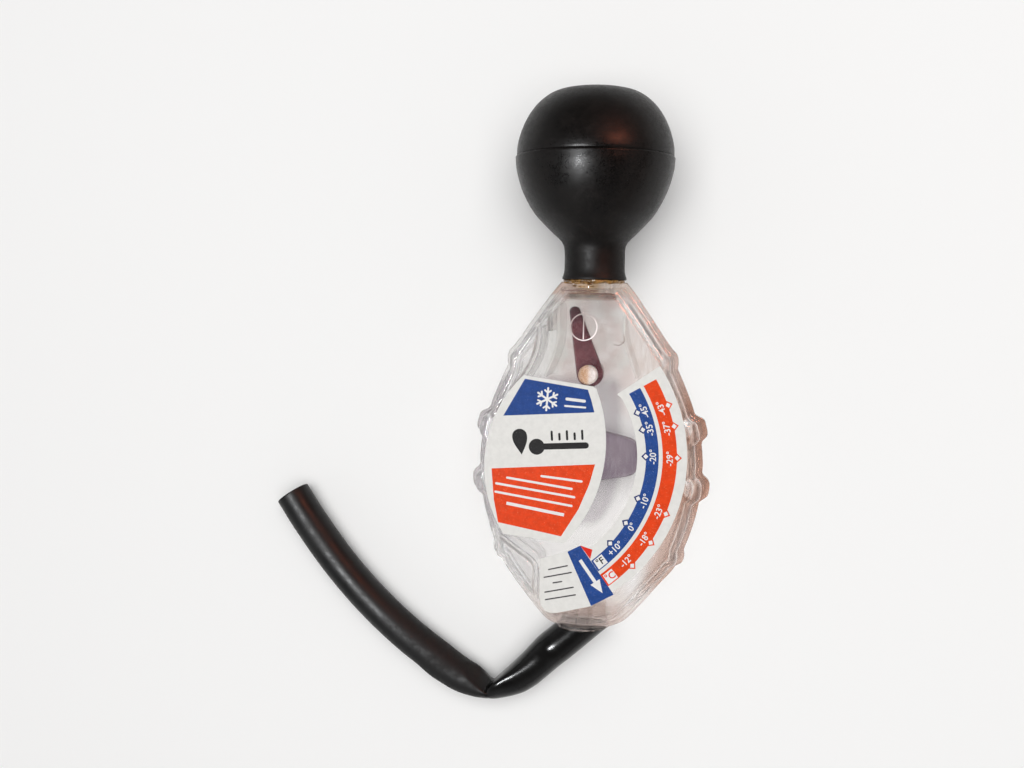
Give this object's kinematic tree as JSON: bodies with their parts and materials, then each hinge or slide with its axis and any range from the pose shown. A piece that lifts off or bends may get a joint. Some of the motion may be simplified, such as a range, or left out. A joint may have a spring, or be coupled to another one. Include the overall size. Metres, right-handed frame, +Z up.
{
  "type": "antifreeze tester",
  "caption": "Handheld antifreeze tester: clear flat body with a float vane, level pointer and printed freeze-point scale, a rubber squeeze bulb above and a bent suction hose below.",
  "frame": {"origin": "on the surface that the tester lies on, under the middle of its box without the hose", "axes": "+Y along the body towards the squeeze bulb, +Z up out of the scale side, +X to the right as the scale is read"},
  "size_m": [0.1483, 0.2005, 0.0506],
  "materials": {
    "bulb_rubber": "satin",
    "cement": "gloss",
    "clear_plastic": "gloss",
    "pointer_plastic": "satin",
    "pin_brass": "gloss",
    "float_plastic": "satin",
    "weight_steel": "satin",
    "label_film": "satin",
    "hose_rubber": "satin"
  },
  "bodies": {
    "tester": {"squeeze_bulb": "bulb_rubber", "neck_cement": "cement", "front_shell": "clear_plastic", "rear_shell": "clear_plastic", "level_pivot_pin": "pin_brass", "float_pivot_pin": "pin_brass", "main_label": "label_film", "scale_label": "label_film", "suction_hose": "hose_rubber"},
    "float": {"reading_float": "float_plastic", "float_weight": "weight_steel"},
    "pointer": {"level_pointer": "pointer_plastic"}
  },
  "joints": [
    {"name": "float_swing", "type": "hinge", "parent": "tester", "child": "float", "pos_m": [-0.0165, -0.0272, 0.01258], "axis": [0, -0.0914, 0.9958], "range_deg": [-54, 31]},
    {"name": "level_swing", "type": "hinge", "parent": "tester", "child": "pointer", "pos_m": [-0.0002, -0.00121, 0.02259], "axis": [0, -0.0914, 0.9958], "range_deg": [-37, 6]}
  ]
}
